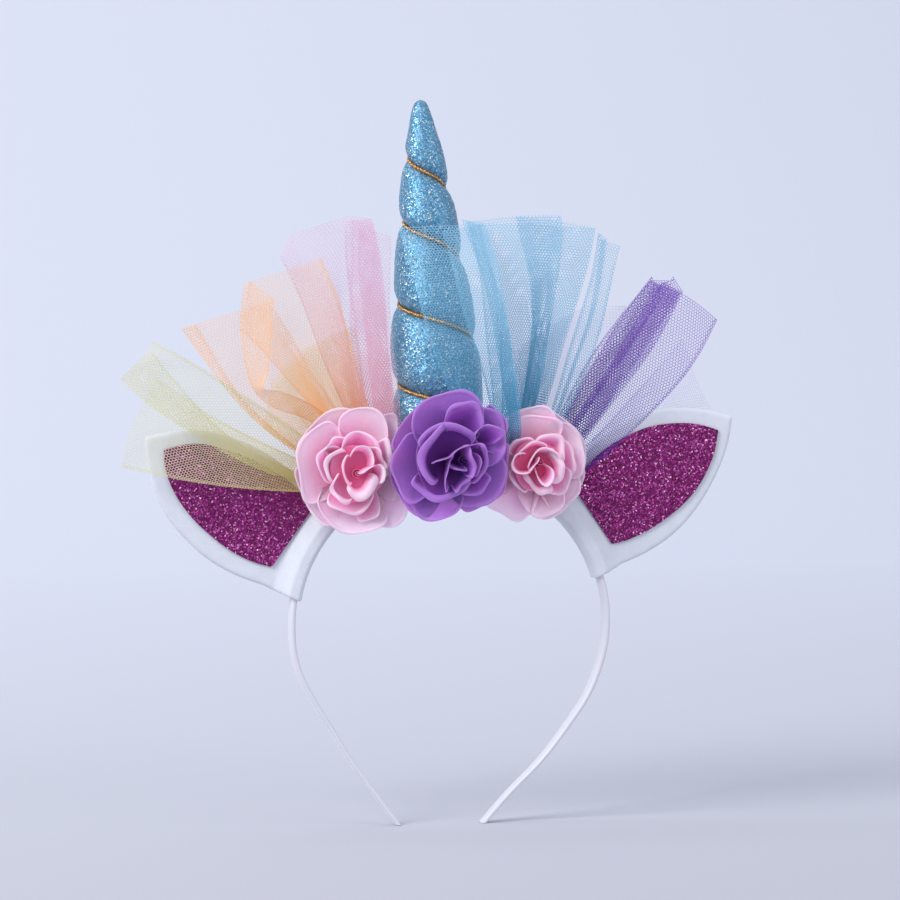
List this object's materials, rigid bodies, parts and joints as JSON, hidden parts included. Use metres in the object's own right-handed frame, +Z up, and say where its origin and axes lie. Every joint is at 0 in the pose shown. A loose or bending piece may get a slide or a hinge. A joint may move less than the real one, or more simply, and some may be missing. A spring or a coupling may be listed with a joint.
{
  "type": "unicorn horn headband with felt ears, cloth roses and tulle",
  "caption": "Arched headband with a padded, cord-wound unicorn horn, leaf-shaped felt ears, cloth roses across its front and a fan of gathered tulle behind them.",
  "frame": {"origin": "inner top of the band's arch, where it sits on the head", "axes": "+Z up along the horn, +X to the right as seen from the front, +Y towards the back, so the roses face -Y"},
  "size_m": [0.2512, 0.0583, 0.2805],
  "materials": {
    "satin": "satin ribbon over a plastic core",
    "blue_glitter": "glitter cloth over padding",
    "gold_cord": "metallic twisted cord",
    "white_felt": "felt",
    "magenta_glitter": "glitter sheet",
    "pink_petals": "matte cloth petals",
    "purple_petals": "matte cloth petals",
    "green_calyx": "moulded",
    "yellow_tulle": "net",
    "orange_tulle": "net",
    "pink_tulle": "net",
    "blue_tulle": "net",
    "purple_tulle": "net",
    "lavender_tulle": "net"
  },
  "bodies": {
    "root": {"headband": "satin", "horn": "blue_glitter", "horn_cord": "gold_cord", "left_ear_felt": "white_felt", "left_ear_glitter": "magenta_glitter", "right_ear_felt": "white_felt", "right_ear_glitter": "magenta_glitter", "left_pink_rose_outer_petals": "pink_petals", "left_pink_rose_middle_petals": "pink_petals", "left_pink_rose_inner_petals": "pink_petals", "left_pink_rose_bud": "pink_petals", "left_pink_rose_calyx": "green_calyx", "purple_rose_outer_petals": "purple_petals", "purple_rose_middle_petals": "purple_petals", "purple_rose_inner_petals": "purple_petals", "purple_rose_bud": "purple_petals", "purple_rose_calyx": "green_calyx", "right_pink_rose_outer_petals": "pink_petals", "right_pink_rose_middle_petals": "pink_petals", "right_pink_rose_inner_petals": "pink_petals", "right_pink_rose_bud": "pink_petals", "right_pink_rose_calyx": "green_calyx", "yellow_lower_tulle": "yellow_tulle", "yellow_upper_tulle": "yellow_tulle", "yellow_back_tulle": "yellow_tulle", "orange_left_tulle": "orange_tulle", "orange_fold_tulle": "orange_tulle", "orange_wide_tulle": "orange_tulle", "pink_wide_tulle": "pink_tulle", "pink_strip_tulle": "pink_tulle", "blue_veil_tulle": "blue_tulle", "blue_wide_tulle": "blue_tulle", "blue_right_tulle": "blue_tulle", "purple_left_tulle": "purple_tulle", "purple_right_tulle": "purple_tulle", "lavender_upper_tulle": "lavender_tulle", "lavender_right_tulle": "lavender_tulle"}
  },
  "joints": []
}
